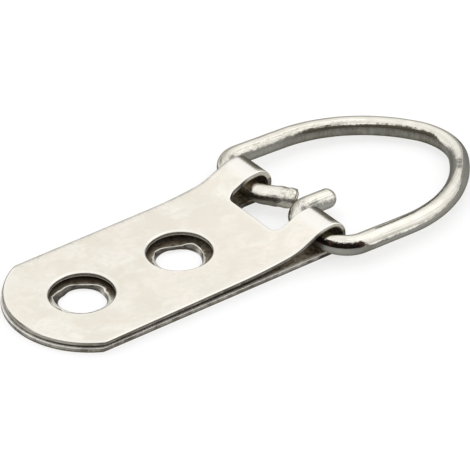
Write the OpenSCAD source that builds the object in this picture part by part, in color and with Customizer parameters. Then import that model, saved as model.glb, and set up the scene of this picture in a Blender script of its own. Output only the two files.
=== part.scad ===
// Two-hole D-ring strap hanger for the back of a picture frame.
// One strip of plated steel is folded round the bar of a loose wire ring.
// Both leaves of the folded strap carry two screw holes, and a window across
// the fold leaves two knuckles with the bent ends of the wire between them.
//
// Millimetres. The screws go down through the face that lies on z = 0. The origin
// is on that face, midway between the two holes, and the ring points along +X.

/* [Strap] */
// Width of the strap across the leaves
strap_w = 15; // [14:0.1:16]
// Thickness of the sheet
sheet_t = 0.5; // [0.4:0.05:0.6]
// Reach of the lower leaf from the origin to its free end
lower_reach = 12.75; // [12.5:0.05:13.5]
// How far the upper leaf stops short of the lower one
leaf_setback = 0.25; // [0:0.05:0.5]
// Radius of the curved free end, seen from above
end_r = 8.5; // [8.2:0.1:10]
// Radius that softens the corners where the free end meets the sides
corner_r = 0.6; // [0.2:0.1:1]
// Slot left between the leaves at the free end
leaf_gap = 0.03; // [0.02:0.01:0.1]

/* [Screw holes] */
// Distance between the two holes
hole_pitch = 10.9; // [10:0.1:11.5]
// Diameter of the holes in the lower leaf, where the screw passes
screw_hole_d = 4.5; // [3.5:0.1:4.8]
// Diameter of the holes in the upper leaf, where the screw head sits
head_hole_d = 6.2; // [5.6:0.1:6.6]

/* [Fold] */
// Distance from the origin to the centre of the fold
fold_x = 17.6; // [17.3:0.1:18]
// Room between the wire and the inside of the fold, measured upright
loop_play = 0.45; // [0.4:0.05:0.6]
// Radius of the long curve behind the top of each knuckle
crest_r = 4.15; // [3.6:0.05:4.6]
// Slope of the ramp that climbs to the knuckles, in degrees
ramp_deg = 26.6; // [25:0.2:28]
// Radius of the curve at the foot of the ramp
foot_r = 6; // [5:0.5:7]
// Slope where that curve hands over to the long sweep, in degrees
sweep_deg = 7.5; // [6.5:0.5:8]
// Radius of the long sweep that flattens the upper leaf
sweep_r = 50; // [40:5:60]
// Slope of the upper leaf over the screw holes, in degrees
leaf_deg = 1.1; // [1:0.05:1.2]

/* [Window] */
// Width of the window between the two knuckles
window_w = 7.8; // [7.6:0.1:8]
// How far behind the centre of the fold the window starts in the upper leaf
window_reach = 3.75; // [3.3:0.05:4.1]
// How much nearer to the fold it starts in the lower leaf
window_step = 1.2; // [0.6:0.1:1.4]
// Radius in the corners of the window
window_r = 1; // [0.5:0.1:1.2]

/* [Ring] */
// Diameter of the wire
wire_d = 2; // [1.9:0.05:2.1]
// Upright clearance under the bar where it lies in the fold
bar_play = 0.05; // [0.03:0.01:0.1]
// How far the bar lies behind the centre of the fold
bar_setback = 0.4; // [0.25:0.05:0.55]
// Room between the strap's edge and each side of the ring, when the ring is centred
side_room = 1.2; // [1:0.1:1.5]
// How far the loose ring has slid sideways
side_shift = 0.4; // [0:0.1:0.6]
// Length of the ring from the bar to the tip, between the middles of the wire
ring_len = 21.1; // [20.5:0.1:21.8]
// Radius of the bends from the bar to the sides
bend_r = 2.6; // [2.2:0.1:2.8]
// Radius of the long curves in the sides
flank_r = 14.4; // [13.8:0.2:16]
// Radius of the rounded tip
tip_r = 5.8; // [5.4:0.1:6.2]

/* [Wire ends] */
// Distance from the near knuckle's flank to the start of the elbow
elbow_room = 0.1; // [0.05:0.05:0.3]
// Radius of the elbow that turns the near end into the ring
elbow_r = 2.5; // [2.2:0.1:2.6]
// Straight length of the near end past its elbow
stub_len = 2.2; // [1.8:0.1:2.6]
// Distance from the far knuckle's flank to the bend in the far end
far_room = 0.3; // [0.2:0.05:0.4]
// Radius of the bend in the far end
far_bend_r = 1.5; // [1.3:0.1:1.7]
// Turn of the far end towards the ring, in degrees
far_turn = 42; // [40:1:46]
// Straight length of the far end past its bend
far_len = 3; // [2.4:0.1:3]
// Bevel left on the far end by the cutter
cut_bevel = 0.3; // [0.1:0.05:0.4]

/* [Hidden] */
$fn = 96;
half_turn = 180;
right_angle = 90;
over = strap_w;                                     // overrun of every cut
half_w = strap_w / 2;
wire_r = wire_d / 2;
// The strip and the wire are each built run by run. Every second run is finer all round
// and enters its neighbours by a lap, so that no two runs only touch.
fine_share = 0.02;
lap_share = 0.1;
fine_relief = sheet_t * fine_share;
lap = sheet_t * lap_share;

// The strip, followed along the middle of its thickness from the lower leaf round to the upper one.
// A step of a path is [length, 0] for a straight run, or [radius, angle] for a bend, left being positive.
loop_h = wire_d + loop_play + 2 * sheet_t;          // height of the knuckles
fold_r = (loop_h - sheet_t) / 2;
crest_run = crest_r * sin(ramp_deg);
crest_fall = crest_r * (1 - cos(ramp_deg));
foot_run = foot_r * (sin(ramp_deg) - sin(sweep_deg));
foot_fall = foot_r * (cos(sweep_deg) - cos(ramp_deg));
sweep_run = sweep_r * (sin(sweep_deg) - sin(leaf_deg));
sweep_fall = sweep_r * (cos(leaf_deg) - cos(sweep_deg));
upper_reach = lower_reach - leaf_setback;
whole_run = fold_x + upper_reach;
whole_fall = loop_h - 2 * sheet_t - leaf_gap;
curved_run = crest_run + foot_run + sweep_run;
curved_fall = crest_fall + foot_fall + sweep_fall;
// The ramp is as long as it must be for the upper leaf to come down onto the lower one at its end.
ramp_len = (whole_fall - curved_fall - (whole_run - curved_run) * tan(leaf_deg))
         / (sin(ramp_deg) - cos(ramp_deg) * tan(leaf_deg));
leaf_len = (whole_run - curved_run - ramp_len * cos(ramp_deg)) / cos(leaf_deg);
strip = [
    [lower_reach + fold_x, 0],
    [fold_r, half_turn],
    [crest_r, ramp_deg],
    [ramp_len, 0],
    [foot_r, sweep_deg - ramp_deg],
    [sweep_r, leaf_deg - sweep_deg],
    [leaf_len + sheet_t, 0]
];
between_leaves = sheet_t + leaf_gap / 2;            // level that parts the two leaves

// The wire, followed from its near end round the ring and back to its far end.
// The ring is laid out flat, with the middle of the bar at its own origin.
bar_x = fold_x - bar_setback;
bar_z = sheet_t + wire_r + bar_play;
side_v = half_w + side_room + wire_r;               // half the width of the ring, between wire middles
flank_deg = acos((flank_r - side_v) / (flank_r - tip_r));
side_len = ring_len - tip_r - (flank_r - tip_r) * sin(flank_deg) - bend_r;
elbow_v = window_w / 2 - elbow_room;
far_bend_v = window_w / 2 - far_room;
wire = [
    [elbow_r, right_angle],
    [side_v - side_shift - bend_r - elbow_v, 0],
    [bend_r, right_angle],
    [side_len, 0],
    [flank_r, flank_deg],
    [tip_r, half_turn - 2 * flank_deg],
    [flank_r, flank_deg],
    [side_len, 0],
    [bend_r, right_angle],
    [side_v + side_shift - bend_r - far_bend_v, 0],
    [far_bend_r, far_turn]
];
ring_fall = asin((bar_z - wire_r) / ring_len);      // the tip rests on the same surface

// Where step i of a path starts, as [x, y, heading].
function start(path, i) =
    i == 0 ? [0, 0, 0] : let (
        last = start(path, i - 1),
        size = path[i - 1][0],
        turn = path[i - 1][1],
        ahead = turn == 0 ? size : 0,
        side = sign(turn) * size,
        heading = last[2] + turn
    ) [
        last[0] + ahead * cos(heading) + side * (sin(heading) - sin(last[2])),
        last[1] + ahead * sin(heading) + side * (cos(last[2]) - cos(heading)),
        heading
    ];

// Puts its children where step i of a path starts, or at the path's end for the step after its last.
module at_start(path, i) {
    place = start(path, i);
    translate([place[0], place[1], 0])
        rotate([0, 0, place[2]])
            children();
}

// Draws one run of a flat section: a length when turn is 0, or else a bend of that radius.
module run(size, turn, entry) {
    entry_deg = turn == 0 ? 0 : entry / size * half_turn / PI;
    if (turn == 0)
        translate([-entry, 0, 0])
            rotate([right_angle, 0, right_angle])
                linear_extrude(size + 2 * entry)
                    children();
    else
        translate([0, sign(turn) * size, 0])
            rotate([0, 0, min(turn, 0) - sign(turn) * right_angle - entry_deg])
                rotate_extrude(angle = abs(turn) + 2 * entry_deg)
                    translate([size, 0])
                        children();
}

// Carries a section along a path. Children: the full section and the finer one.
// The number is 0 or 1, for whether the even or the odd runs are the full ones.
module carry(path, full_runs) {
    for (i = [0 : len(path) - 1])
        at_start(path, i)
            if (i % 2 == full_runs)
                run(path[i][0], path[i][1], 0)
                    children(0);
            else
                run(path[i][0], path[i][1], lap)
                    children(1);
}

// The sheet as it is folded, wider than the strap, before anything is sheared from it.
module folded_sheet() {
    translate([-lower_reach, 0, sheet_t / 2])
        rotate([right_angle, 0, 0])
            carry(strip, 0) {
                square([sheet_t, strap_w + over], center = true);
                square([sheet_t - 2 * fine_relief, strap_w + over], center = true);
            }
}

// What is sheared away round the free end of a leaf that reaches this far.
module end_waste(reach) {
    centre_x = end_r - reach;
    soft_y = half_w - corner_r;
    soft_x = centre_x - sqrt(pow(end_r - corner_r, 2) - pow(soft_y, 2));
    touch = end_r / (end_r - corner_r);
    difference() {
        translate([-reach - over, -half_w - over])
            square([over + end_r, strap_w + 2 * over]);
        translate([centre_x, 0])
            circle(end_r);
    }
    for (side = [-1, 1])
        difference() {
            polygon([
                [soft_x, side * soft_y],
                [centre_x + (soft_x - centre_x) * touch, side * soft_y * touch],
                [soft_x - corner_r, side * (half_w + corner_r)],
                [soft_x, side * (half_w + corner_r)]
            ]);
            translate([soft_x, side * soft_y])
                circle(corner_r);
        }
}

// The window punched across the fold, as it lies in a leaf where it starts this far behind the fold.
module window(reach) {
    inner_x = fold_x - reach + window_r;
    inner_w = window_w - 2 * window_r;
    translate([fold_x - reach, -inner_w / 2])
        square([over, inner_w]);
    translate([inner_x, -window_w / 2])
        square([over, window_w]);
    for (side = [-1, 1])
        translate([inner_x, side * inner_w / 2])
            circle(window_r);
}

// Everything that is sheared or punched out of one leaf.
module leaf_waste(reach, hole_d, window_start) {
    end_waste(reach);
    for (side = [0, 1])
        mirror([0, side])
            translate([-reach - over, half_w])
                square([reach + fold_x + 2 * over, over]);
    window(window_start);
    for (side = [-1, 1])
        translate([side * hole_pitch / 2, 0])
            circle(d = hole_d);
}

// Folded strap with its two knuckles, its window and the paired screw holes.
// The narrower cut goes through both leaves, and the wider one through the upper leaf alone.
module strap() {
    color("gainsboro")
        difference() {
            folded_sheet();
            translate([0, 0, -over])
                linear_extrude(2 * over)
                    leaf_waste(lower_reach, screw_hole_d, window_reach - window_step);
            translate([0, 0, between_leaves])
                linear_extrude(over)
                    leaf_waste(upper_reach, head_hole_d, window_reach);
        }
}

// The rounded near end of the wire, leading along +X into the elbow at the origin.
module near_end() {
    rotate([0, -right_angle, 0])
        rotate_extrude() {
            square([wire_r, stub_len]);
            translate([0, stub_len])
                intersection() {
                    circle(wire_r);
                    square(wire_r);
                }
        }
}

// The far end of the wire, cropped square with a bevelled edge.
module far_end() {
    rotate([0, right_angle, 0])
        rotate_extrude()
            polygon([
                [0, 0],
                [wire_r, 0],
                [wire_r, far_len - cut_bevel],
                [wire_r - cut_bevel, far_len],
                [0, far_len]
            ]);
}

// Loose wire ring: bar in the fold, two sides, rounded tip, and both ends bent in the window.
module d_ring() {
    color("silver")
        translate([bar_x, 0, bar_z])
            rotate([0, ring_fall, 0])
                translate([elbow_r, elbow_r - elbow_v, 0])
                    rotate([0, 0, half_turn]) {
                        near_end();
                        carry(wire, 1) {
                            circle(wire_r);
                            circle(wire_r - fine_relief);
                        }
                        at_start(wire, len(wire))
                            far_end();
                    }
}

strap();
d_ring();
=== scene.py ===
import math
import random

import bpy
import numpy as np
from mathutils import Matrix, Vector
from mathutils.geometry import delaunay_2d_cdt


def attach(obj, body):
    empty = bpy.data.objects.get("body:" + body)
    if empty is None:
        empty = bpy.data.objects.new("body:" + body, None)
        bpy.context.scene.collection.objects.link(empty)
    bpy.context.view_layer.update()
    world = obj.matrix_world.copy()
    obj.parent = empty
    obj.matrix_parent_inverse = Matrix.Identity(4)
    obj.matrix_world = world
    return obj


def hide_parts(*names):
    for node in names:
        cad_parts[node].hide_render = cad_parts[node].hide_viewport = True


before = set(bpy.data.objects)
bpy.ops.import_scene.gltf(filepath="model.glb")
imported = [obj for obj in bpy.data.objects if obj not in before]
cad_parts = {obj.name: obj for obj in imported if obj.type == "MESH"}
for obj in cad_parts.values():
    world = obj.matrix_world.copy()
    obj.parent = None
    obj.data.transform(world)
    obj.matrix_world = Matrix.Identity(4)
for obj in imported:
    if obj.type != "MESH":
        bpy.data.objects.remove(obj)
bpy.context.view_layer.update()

# A two-hole strap hanger and its wire ring. Both pieces are built as closed meshes, in millimetres and in the
# frame of the solids; make_mesh() turns them to metres.
MM = 0.001
rad = math.radians

# Sizes of the folded strap, in millimetres, as in the solid model.
STRAP_W, SHEET_T = 15.0, 0.5
LOWER_REACH, UPPER_REACH = 12.75, 12.5
END_R, CORNER_R, LEAF_GAP = 8.5, 0.6, 0.03
HOLE_PITCH, SCREW_D, HEAD_D = 10.9, 4.5, 6.2
FOLD_X, LOOP_PLAY, CREST_R, RAMP = 17.6, 0.45, 4.15, rad(26.6)
FOOT_R, SWEEP_A, SWEEP_R, LEAF_A = 6.0, rad(7.5), 50.0, rad(1.1)
WINDOW_W, WINDOW_REACH, WINDOW_STEP, WINDOW_R = 7.8, 3.75, 1.2, 1.0

# Sizes of the wire ring.
WIRE_D, BAR_PLAY, BAR_SETBACK, SIDE_ROOM, SIDE_SHIFT = 2.0, 0.05, 0.4, 1.2, 0.4
RING_LEN, BEND_R, FLANK_R, TIP_R = 21.1, 2.6, 14.4, 5.8
ELBOW_ROOM, ELBOW_R, STUB_LEN = 0.1, 2.5, 2.2
FAR_ROOM, FAR_BEND_R, FAR_TURN, FAR_LEN = 0.3, 1.5, rad(42), 3.0

WIRE_R = WIRE_D / 2
DRAWN_R = WIRE_R - 0.01
HALF_W = STRAP_W / 2
LOOP_H = WIRE_D + LOOP_PLAY + 2 * SHEET_T

# How finely the strap is cut: steps along and across it where it is flat and where it is bent, which it is from
# the fold to BENT_TO_X on the upper leaf; steps round its outline and window; and points round its holes.
FLAT_GRID, BENT_GRID = (0.48, 0.55), (0.11, 0.45)
BENT_TO_X = 12.2
OUTLINE_CUT, WINDOW_CUT = 0.16, 0.12
SCREW_CUTS, HEAD_CUTS = 150, 176
# Extra rows beside each rim, as (distance, every how many points), and how near a rim other points may come.
RIM_BANDS, RIM_CLEAR = ((0.13, 2), (0.3, 3)), 0.08
# How finely the wire is cut: points round it, rows of its rounded end, and steps along it, which are shorter at
# its ends and in bends of less than TIGHT_R.
WIRE_SIDES, CAP_ROWS = 56, 9
WIRE_STEP, BEND_STEP, TIGHT_R = 0.22, 0.12, 4

# Material slots of the strap: its outer face, its sheared walls, and its face inside the fold.
FACE, WALL, INNER = 0, 1, 2

# How far the torn top rim of each screw hole stands from the hole's centre, by angle.
TORN_RIMS = {-1: [(-150, 2.33), (-100, 2.30), (-55, 2.42), (-30, 2.36), (-7, 2.34), (11, 2.58), (23, 2.50),
                  (40, 2.26), (60, 2.18), (80, 2.38), (95, 2.52), (120, 2.60), (137, 2.72), (158, 2.50),
                  (180, 2.36)],
             1: [(-150, 2.31), (-100, 2.29), (-40, 2.36), (-5, 2.42), (14, 2.60), (27, 2.70), (38, 2.44),
                 (51, 2.16), (68, 2.12), (84, 2.14), (100, 2.36), (115, 2.50), (135, 2.36), (160, 2.30)]}
# Burrs low on each screw hole: (angle, how far in, width in degrees).
BURRS = {-1: [(109, 0.17, 15), (-4, 0.08, 20)], 1: [(-32, 0.14, 26), (46, 0.06, 9), (66, 0.10, 14)]}
# How far each head hole is drawn off the round: (direction in degrees, how far out).
DRAWN_OUT = {-1: [(53, 0.17), (-45, -0.10)], 1: [(53, 0.17)]}
# By kind of rim: the roll that the punch leaves outside, the softer edge inside, and where the flat part starts.
ROLLS = {"outline": (0.13, 0.05, 0.13), "window": (0.11, 0.05, 0.11), "head": (0.22, 0.05, 0.22),
         "screw": (0.06, 0.0, 0.80)}
TRIM = 0.006        # how far the outline stands inside the solid's

# The wire's ends. The near one is rounded, to BLUNT of a half ball. The far one is swollen by the cutter over
# GRIP_LEN and drawn in over TORN_LEN to the size TORN_SIZE of its torn face, whose rows are given as (share of
# its radius, how far out).
BLUNT = 0.94
GRIP_LEN, TORN_LEN, TORN_SIZE = 2.6, 0.7, 0.84
TORN_FACE = ((0.955, 0.04), (0.89, 0.09), (0.80, 0.12), (0.68, 0.12), (0.54, 0.09), (0.38, 0.12), (0.2, 0.16))

# Where the wire is painted with shade and dark reflections: below these angles on its inner side and above those
# on its outer side, by length along the wire. 0 degrees faces into the ring, 90 is the top of the wire, 180 faces
# out.
SHADE_IN = [(0, 28), (1.2, 30), (2.2, 40), (6, 20), (13, 20), (20, 38), (22, 68), (25.5, 68), (28.5, 69), (30, 76),
           (31.5, 62), (33, 46), (34.5, 30), (36, 30), (37.5, 46), (44, 46), (45.5, 38), (47, 40), (49, 45),
           (51, 42), (52.5, 34), (56, 30), (61, 30), (64, 15), (67.4, 30), (68, 84), (68.8, 30), (72, 15)]
SHADE_OUT = [(0, 165), (6, 160), (8.8, 150), (9.4, 130), (12.6, 130), (13.3, 170), (18.5, 169), (20, 163),
            (22, 157), (24, 148), (25.5, 139), (27, 122), (28.5, 106), (30, 98), (31.5, 98), (33, 104),
            (34.5, 111), (36, 124), (38, 140), (42, 165), (60, 172), (64, 155), (72, 152)]
SHADE_SOFT = [(0, 260), (3, 200), (5, 80)]       # how many degrees its edge fades over
# A painted dark reflection line along the top of the ring's near side, and where the painted shade on the outer
# side below it is paler: angle by length.
SHADE_LINE = [(13.5, 88), (17, 90), (19.5, 82), (21, 75), (23, 66), (25, 62)]
PALE_OUT = [(13.6, 182), (19, 168), (22, 100), (33, 92)]
# Other marks on the wire: (strength, from, to and softness along it, the same three in degrees round it). In turn:
# deeper painted shade, a painted dark reddish reflection, dark specks, and a painted dark reflection line beside
# a painted highlight line (strength -1).
DEEPEST_SHADE = [(1.0, 36.5, 52.5, 2.5, 20, 60, 16), (0.7, 63.5, 70.0, 1.0, 150, 186, 12)]
DARK_REFLECTION = [(1.0, 8.6, 12.8, 0.5, 128, 167, 7)]
PEPPER = [(1.0, 46, 60, 4, 42, 66, 16), (0.8, 2.7, 4.5, 0.8, 45, 145, 20)]
REFLECTION_LINES = [(1.0, 13.6, 25, 1.5, 155, 163.5, 4), (-1.0, 13.6, 25, 1.5, 166, 174, 3)]

# Colours of the plate on the strap, of the sheared walls, of the plate inside the fold, and of the wire. Among
# them
# are painted highlights: the lit plate on the knuckle tops, the rim plate beside the edges (also burnished), the
# lit walls and the wire's lit line; painted shade: the dark knuckle fronts and far edges, the darkest wall colour
# and the dark inside between the leaves; and the wire's painted shade and reflections: its olive line colour, its
# grey, pale and deep shade colours, and its dark reddish colours.
NICKEL_EDGE = (0.25, 0.24, 0.20, 1)
PLATE_DIM, PLATE_BRIGHT, PLATE_LIT = (0.880, 0.830, 0.730), (0.990, 0.955, 0.870), (1.0, 0.985, 0.94)
PLATE_ROSY, PLATE_GREEN, PLATE_GRAIN = (0.950, 0.865, 0.785), (0.885, 0.885, 0.780), (0.88, 0.84, 0.75)
PLATE_RIM, PLATE_DIRT = (0.985, 0.965, 0.90), (0.45, 0.42, 0.36)
KNUCKLE_SHADE, FAR_DARK = (0.21, 0.20, 0.175), (0.17, 0.16, 0.13)
SHEARED = (0.42, 0.40, 0.355), (0.17, 0.158, 0.138), (0.085, 0.078, 0.062)
SHEARED_CUT, SHEARED_LIT, SHEARED_SHADE = (0.13, 0.12, 0.098), (0.78, 0.75, 0.66), (0.028, 0.022, 0.016)
INSIDE = (0.50, 0.43, 0.33), (0.30, 0.24, 0.165), (0.20, 0.135, 0.085)
INSIDE_PALE, INSIDE_BLOT, INSIDE_SHADE = (0.62, 0.57, 0.44), (0.085, 0.068, 0.036), (0.050, 0.036, 0.020)
INSIDE_WHITE = (0.95, 0.92, 0.86)
WIRE_DIM, WIRE_BRIGHT, WIRE_LIT = (0.85, 0.82, 0.74), (1.0, 0.97, 0.90), (1.0, 0.99, 0.96)
WIRE_LINES, WIRE_REFLECTION_DARK = (0.55, 0.53, 0.43), (0.40, 0.38, 0.27)
WIRE_PEPPER, WIRE_CROP = (0.27, 0.25, 0.19), (0.30, 0.27, 0.19)
SHADE_DARK, SHADE_GREY, SHADE_PALE = (0.14, 0.133, 0.108), (0.25, 0.243, 0.21), (0.36, 0.355, 0.325)
SHADE_DEEP, DARK_REFLECTION_BLACK, DARK_REFLECTION_RED = (0.100, 0.088, 0.064), (0.012, 0.010, 0.009), (0.080, 0.046, 0.032)

# The photograph's camera, fitted for a square picture: its focal length in pixels, its turn and tilt, its place
# along its own right, up and view directions in millimetres, and how near and far it sees in metres.
PHOTO_PX, FOCAL_PX, SENSOR = 470, 2628.6, 36.0
CAM_TURN, CAM_TILT = 0.6441263, 0.5861398
CAM_RIGHT, CAM_UP, CAM_BACK = 9.532, 4.406, 242.5
CAM_NEAR, CAM_FAR = 0.01, 10

# The studio: screens all round below an even sky, each as (compass turn from +Y towards +X, brightness, top).
SCREENS = [(-180, 0.28, 0.42), (-140, 0.26, 0.46), (-80, 0.27, 0.42), (-62, 0.58, 0.30), (-45, 0.85, 0.26),
           (-15, 0.80, 0.26), (0, 0.42, 0.36), (20, 0.74, 0.42), (48, 0.66, 0.44), (62, 0.42, 0.46),
           (78, 0.44, 0.44), (95, 0.70, 0.36), (120, 0.88, 0.30), (148, 0.80, 0.30), (162, 0.34, 0.40),
           (180, 0.28, 0.42)]
FLOOR_HALF, FLOOR_DROP, FLOOR_GLOW, PAPER = 2.0, 0.00002, 0.62, (0.42, 0.42, 0.42, 1)
# Two lamps, in metres and watts: a wide one that metal doesn't mirror, and a round one that it does.
TOP_SIZE, TOP_PLACE, TOP_AIM, TOP_POWER = 0.5, (-0.12, 0.42, 0.5), (0.012, 0, 0), 0.4
BOX_SIZE, BOX_AIM, BOX_WAY, BOX_FAR, BOX_GAIN = 0.42, (0.02, 0, 0), (0.55, -0.05, 0.83), 0.5, 0.2


def rise(v, start, width):
    """0 up to start, then evenly up to 1 over width."""
    return np.clip((v - start) / width, 0, 1)


def drop(v, end, width):
    """1, then evenly down over width to 0 at end."""
    return np.clip((end - v) / width, 0, 1)


def band(v, lo, hi, soft):
    """1 between lo and hi, with edges that are soft wide."""
    return np.clip((v - lo) / soft + 0.5, 0, 1) * np.clip((hi - v) / soft + 0.5, 0, 1)


def peak(angle, centre, width):
    """A soft peak of 1 at the angle centre, all in degrees."""
    return np.exp(-(((angle - centre + 180) % 360 - 180) / width) ** 2)


def read_off(table, v):
    """The value at v in a table of (place, value)."""
    return np.interp(v, *np.transpose(table))


def smooth_noise(seed, n, waves):
    """A closed wavy line of n values between about -1 and 1."""
    r = random.Random(seed)
    t = np.linspace(0, 2 * math.pi, n, endpoint=False)
    out = np.zeros(n)
    for k in waves:
        out += r.uniform(-1, 1) * np.sin(k * t) + r.uniform(-1, 1) * np.cos(k * t)
    return out / max(np.abs(out).max(), 1e-9)


# Paths: a step is (length, 0) for a straight run or (radius, turn) for a bend, left being positive.
def run_starts(path):
    """The place, heading and arc length at the start of each step, and at the path's end."""
    x = y = a = s = 0.0
    out = [(x, y, a, s)]
    for size, turn in path:
        if turn == 0:
            x, y, s = x + size * math.cos(a), y + size * math.sin(a), s + size
        else:
            side = math.copysign(size, turn)
            x += side * (math.sin(a + turn) - math.sin(a))
            y += side * (math.cos(a) - math.cos(a + turn))
            a, s = a + turn, s + size * abs(turn)
        out.append((x, y, a, s))
    return out


def along(path, s):
    """Arrays of x, y and heading at the arc lengths s."""
    starts = run_starts(path)
    s = np.asarray(s, float)
    cuts = np.array([p[3] for p in starts])
    k = np.clip(np.searchsorted(cuts, s, side="right") - 1, 0, len(path) - 1)
    x, y, a = np.empty_like(s), np.empty_like(s), np.empty_like(s)
    for i, (size, turn) in enumerate(path):
        m = k == i
        x0, y0, a0, s0 = starts[i]
        ds = s[m] - s0
        if turn == 0:
            x[m], y[m], a[m] = x0 + ds * math.cos(a0), y0 + ds * math.sin(a0), a0
        else:
            side = math.copysign(size, turn)
            an = a0 + ds / side
            x[m] = x0 + side * (np.sin(an) - math.sin(a0))
            y[m] = y0 + side * (math.cos(a0) - np.cos(an))
            a[m] = an
    return x, y, a


def strip_path():
    """The sheet's middle line in side view: lower leaf, fold, crest, ramp, foot, sweep and upper leaf."""
    fold_r = (LOOP_H - SHEET_T) / 2
    run = (CREST_R * math.sin(RAMP) + FOOT_R * (math.sin(RAMP) - math.sin(SWEEP_A))
           + SWEEP_R * (math.sin(SWEEP_A) - math.sin(LEAF_A)))
    fall = (CREST_R * (1 - math.cos(RAMP)) + FOOT_R * (math.cos(SWEEP_A) - math.cos(RAMP))
            + SWEEP_R * (math.cos(LEAF_A) - math.cos(SWEEP_A)))
    whole_run = FOLD_X + UPPER_REACH
    whole_fall = LOOP_H - 2 * SHEET_T - LEAF_GAP
    ramp_len = ((whole_fall - fall - (whole_run - run) * math.tan(LEAF_A))
                / (math.sin(RAMP) - math.cos(RAMP) * math.tan(LEAF_A)))
    leaf_len = (whole_run - run - ramp_len * math.cos(RAMP)) / math.cos(LEAF_A)
    return [(LOWER_REACH + FOLD_X, 0), (fold_r, math.pi), (CREST_R, RAMP), (ramp_len, 0),
            (FOOT_R, SWEEP_A - RAMP), (SWEEP_R, LEAF_A - SWEEP_A), (leaf_len + SHEET_T, 0)]


STRIP = strip_path()
STRIP_LEN = run_starts(STRIP)[-1][3]
S_FOLD, S_RAMP = LOWER_REACH + FOLD_X, run_starts(STRIP)[3][3]


def sheet_point(s, y, h):
    """A point of the folded sheet: s along it, y across it, h off its middle towards the inside."""
    x, z, a = along(STRIP, s)
    return np.stack([x - LOWER_REACH - np.sin(a) * h, np.broadcast_to(y, x.shape),
                     z + SHEET_T / 2 + np.cos(a) * h], axis=-1)


def upper_s(x, past_nose=2.4, samples=6000):
    """Arc length at which the upper leaf lies over x. From past_nose beyond S_FOLD the sheet only runs back."""
    s = np.linspace(S_FOLD + past_nose, STRIP_LEN, samples)
    return np.interp(-np.asarray(x, float), -(along(STRIP, s)[0] - LOWER_REACH), s)


def spaced(points, step):
    """Points spread evenly along a closed line."""
    p = np.asarray(points, float)
    q = np.vstack([p, p[:1]])
    d = np.r_[0, np.cumsum(np.hypot(*np.diff(q, axis=0).T))]
    n = max(int(round(d[-1] / step)), 8)
    t = np.linspace(0, d[-1], n, endpoint=False)
    return np.stack([np.interp(t, d, q[:, 0]), np.interp(t, d, q[:, 1])], axis=-1)


def arc(cx, cy, r, a0, a1, n):
    """n points of an arc."""
    return [(cx + r * math.cos(v), cy + r * math.sin(v)) for v in np.linspace(a0, a1, n)]


def end_line(reach):
    """The sheared free end of a leaf in plan, from its +Y side to its -Y side."""
    cx = END_R - reach
    soft_y = HALF_W - CORNER_R
    soft_x = cx - math.sqrt((END_R - CORNER_R) ** 2 - soft_y ** 2)
    a = math.atan2(soft_y, soft_x - cx)
    up = arc(soft_x, soft_y, CORNER_R, math.pi / 2, a, 10)
    return up + arc(cx, 0, END_R, a, 2 * math.pi - a, 90) + [(x, -y) for x, y in up[::-1]]


# The four kinds of rim that the flat blank has, as points in s and y.
def outline_rim():
    """The blank's outline: the lower leaf's free end, then the upper leaf's."""
    low = [(x + LOWER_REACH, y) for x, y in end_line(LOWER_REACH)]
    high = end_line(UPPER_REACH)
    high_s = upper_s([x for x, _ in high])
    high = [(s, y) for s, (_, y) in zip(high_s, high)][::-1]
    return spaced(low + high, OUTLINE_CUT)


def screw_rim(side):
    """The small hole in the lower leaf, with its burrs."""
    t = np.linspace(0, 2 * math.pi, SCREW_CUTS, endpoint=False)
    r = SCREW_D / 2 + 0.012 * smooth_noise(11 + side, SCREW_CUTS, (2, 3, 5, 8, 13))
    r -= sum(depth * peak(np.degrees(t), at, width) for at, depth, width in BURRS[side])
    return np.stack([side * HOLE_PITCH / 2 + LOWER_REACH + r * np.cos(t), r * np.sin(t)], -1)


def head_rim(side):
    """The large hole in the upper leaf, drawn a little off the round."""
    t = np.linspace(0, 2 * math.pi, HEAD_CUTS, endpoint=False)
    r = HEAD_D / 2 + 0.01 * smooth_noise(31 + side, HEAD_CUTS, (2, 3, 5, 9))
    for way, out in DRAWN_OUT[side]:
        r = r + out * np.cos(t - rad(way)).clip(0) ** 2
    x = side * HOLE_PITCH / 2 + r * np.cos(t)
    return np.stack([upper_s(x), r * np.sin(t)], -1)


def window_rim():
    """The window round the fold, which reaches further back on the upper leaf."""
    halves = []
    for x in (FOLD_X - WINDOW_REACH + WINDOW_STEP, FOLD_X - WINDOW_REACH):
        a = arc(x + WINDOW_R, WINDOW_W / 2 - WINDOW_R, WINDOW_R, math.pi / 2, math.pi, 12)
        halves.append(a + [(u, -v) for u, v in a[::-1]])
    low = [(x + LOWER_REACH, y) for x, y in halves[0]]
    high = [(float(upper_s(x)), y) for x, y in halves[1]][::-1]
    return spaced(low + high, WINDOW_CUT)


def strap_loops():
    """Every boundary of the flat blank, as (points in s and y, kind, side). Material lies on the left."""
    loops = [(outline_rim(), "outline", 0)]
    for side in (-1, 1):
        loops += [(screw_rim(side), "screw", side), (head_rim(side), "head", side)]
    loops.append((window_rim(), "window", 0))
    out = []
    for pts, kind, side in loops:
        area = 0.5 * np.sum(pts[:, 0] * np.roll(pts[:, 1], -1) - np.roll(pts[:, 0], -1) * pts[:, 1])
        out.append((pts if (area > 0) == (kind == "outline") else pts[::-1].copy(), kind, side))
    return out


def inward(pts):
    """Unit normals of a closed line, to its left."""
    d = np.roll(pts, -1, 0) - np.roll(pts, 1, 0)
    d /= np.linalg.norm(d, axis=1, keepdims=True)
    return np.stack([-d[:, 1], d[:, 0]], -1)


def inside(p, loop):
    """Even-odd test of points against a closed line."""
    x, y = p[:, 0][:, None], p[:, 1][:, None]
    x0, y0 = loop[:, 0], loop[:, 1]
    x1, y1 = np.roll(x0, -1), np.roll(y0, -1)
    crossing = (x1 - x0) * (y - y0) / np.where(y1 == y0, 1e-12, y1 - y0) + x0
    return (((y0 > y) != (y1 > y)) & (x < crossing)).sum(1) % 2 == 1


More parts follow.
